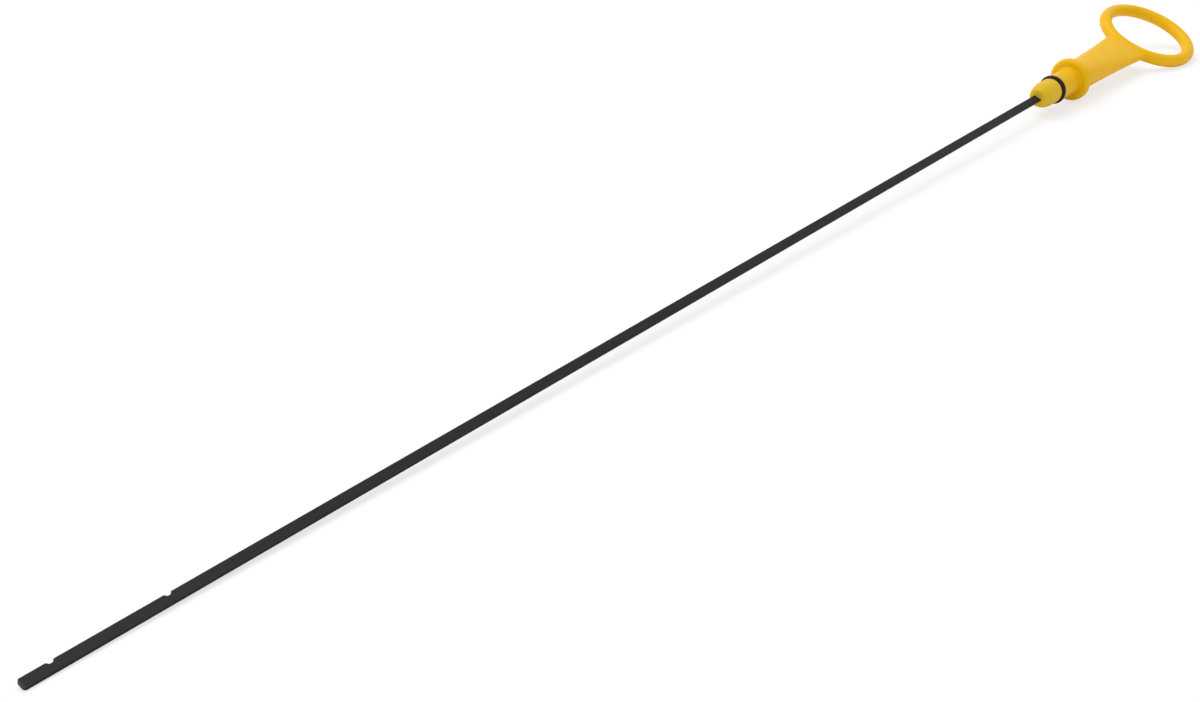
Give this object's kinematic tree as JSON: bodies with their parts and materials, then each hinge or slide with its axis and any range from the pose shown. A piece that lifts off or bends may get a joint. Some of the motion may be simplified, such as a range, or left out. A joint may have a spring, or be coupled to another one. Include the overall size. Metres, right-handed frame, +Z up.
{
  "type": "engine oil dipstick",
  "caption": "Engine oil dipstick: a flat dark steel blade with level notches, moulded into a yellow handle with a finger ring, a seating collar and a sealing ring.",
  "frame": {"origin": "middle of the bounding box at its base, on the surface that the stick lies on", "axes": "+X along the stick from the blade's tip to the finger ring, +Y to the left, the side of the level notches, +Z up; the stick leans 1 degree up towards the ring and is rolled so that the ring's -Y side lies down"},
  "size_m": [0.497, 0.0338, 0.0165],
  "materials": {
    "handle": "yellow moulded plastic, semi-gloss",
    "blade": "blackened spring steel, satin",
    "o_ring": "black rubber, satin"
  },
  "bodies": {
    "root": {"handle": "handle", "blade": "blade", "o_ring": "o_ring"}
  },
  "joints": []
}
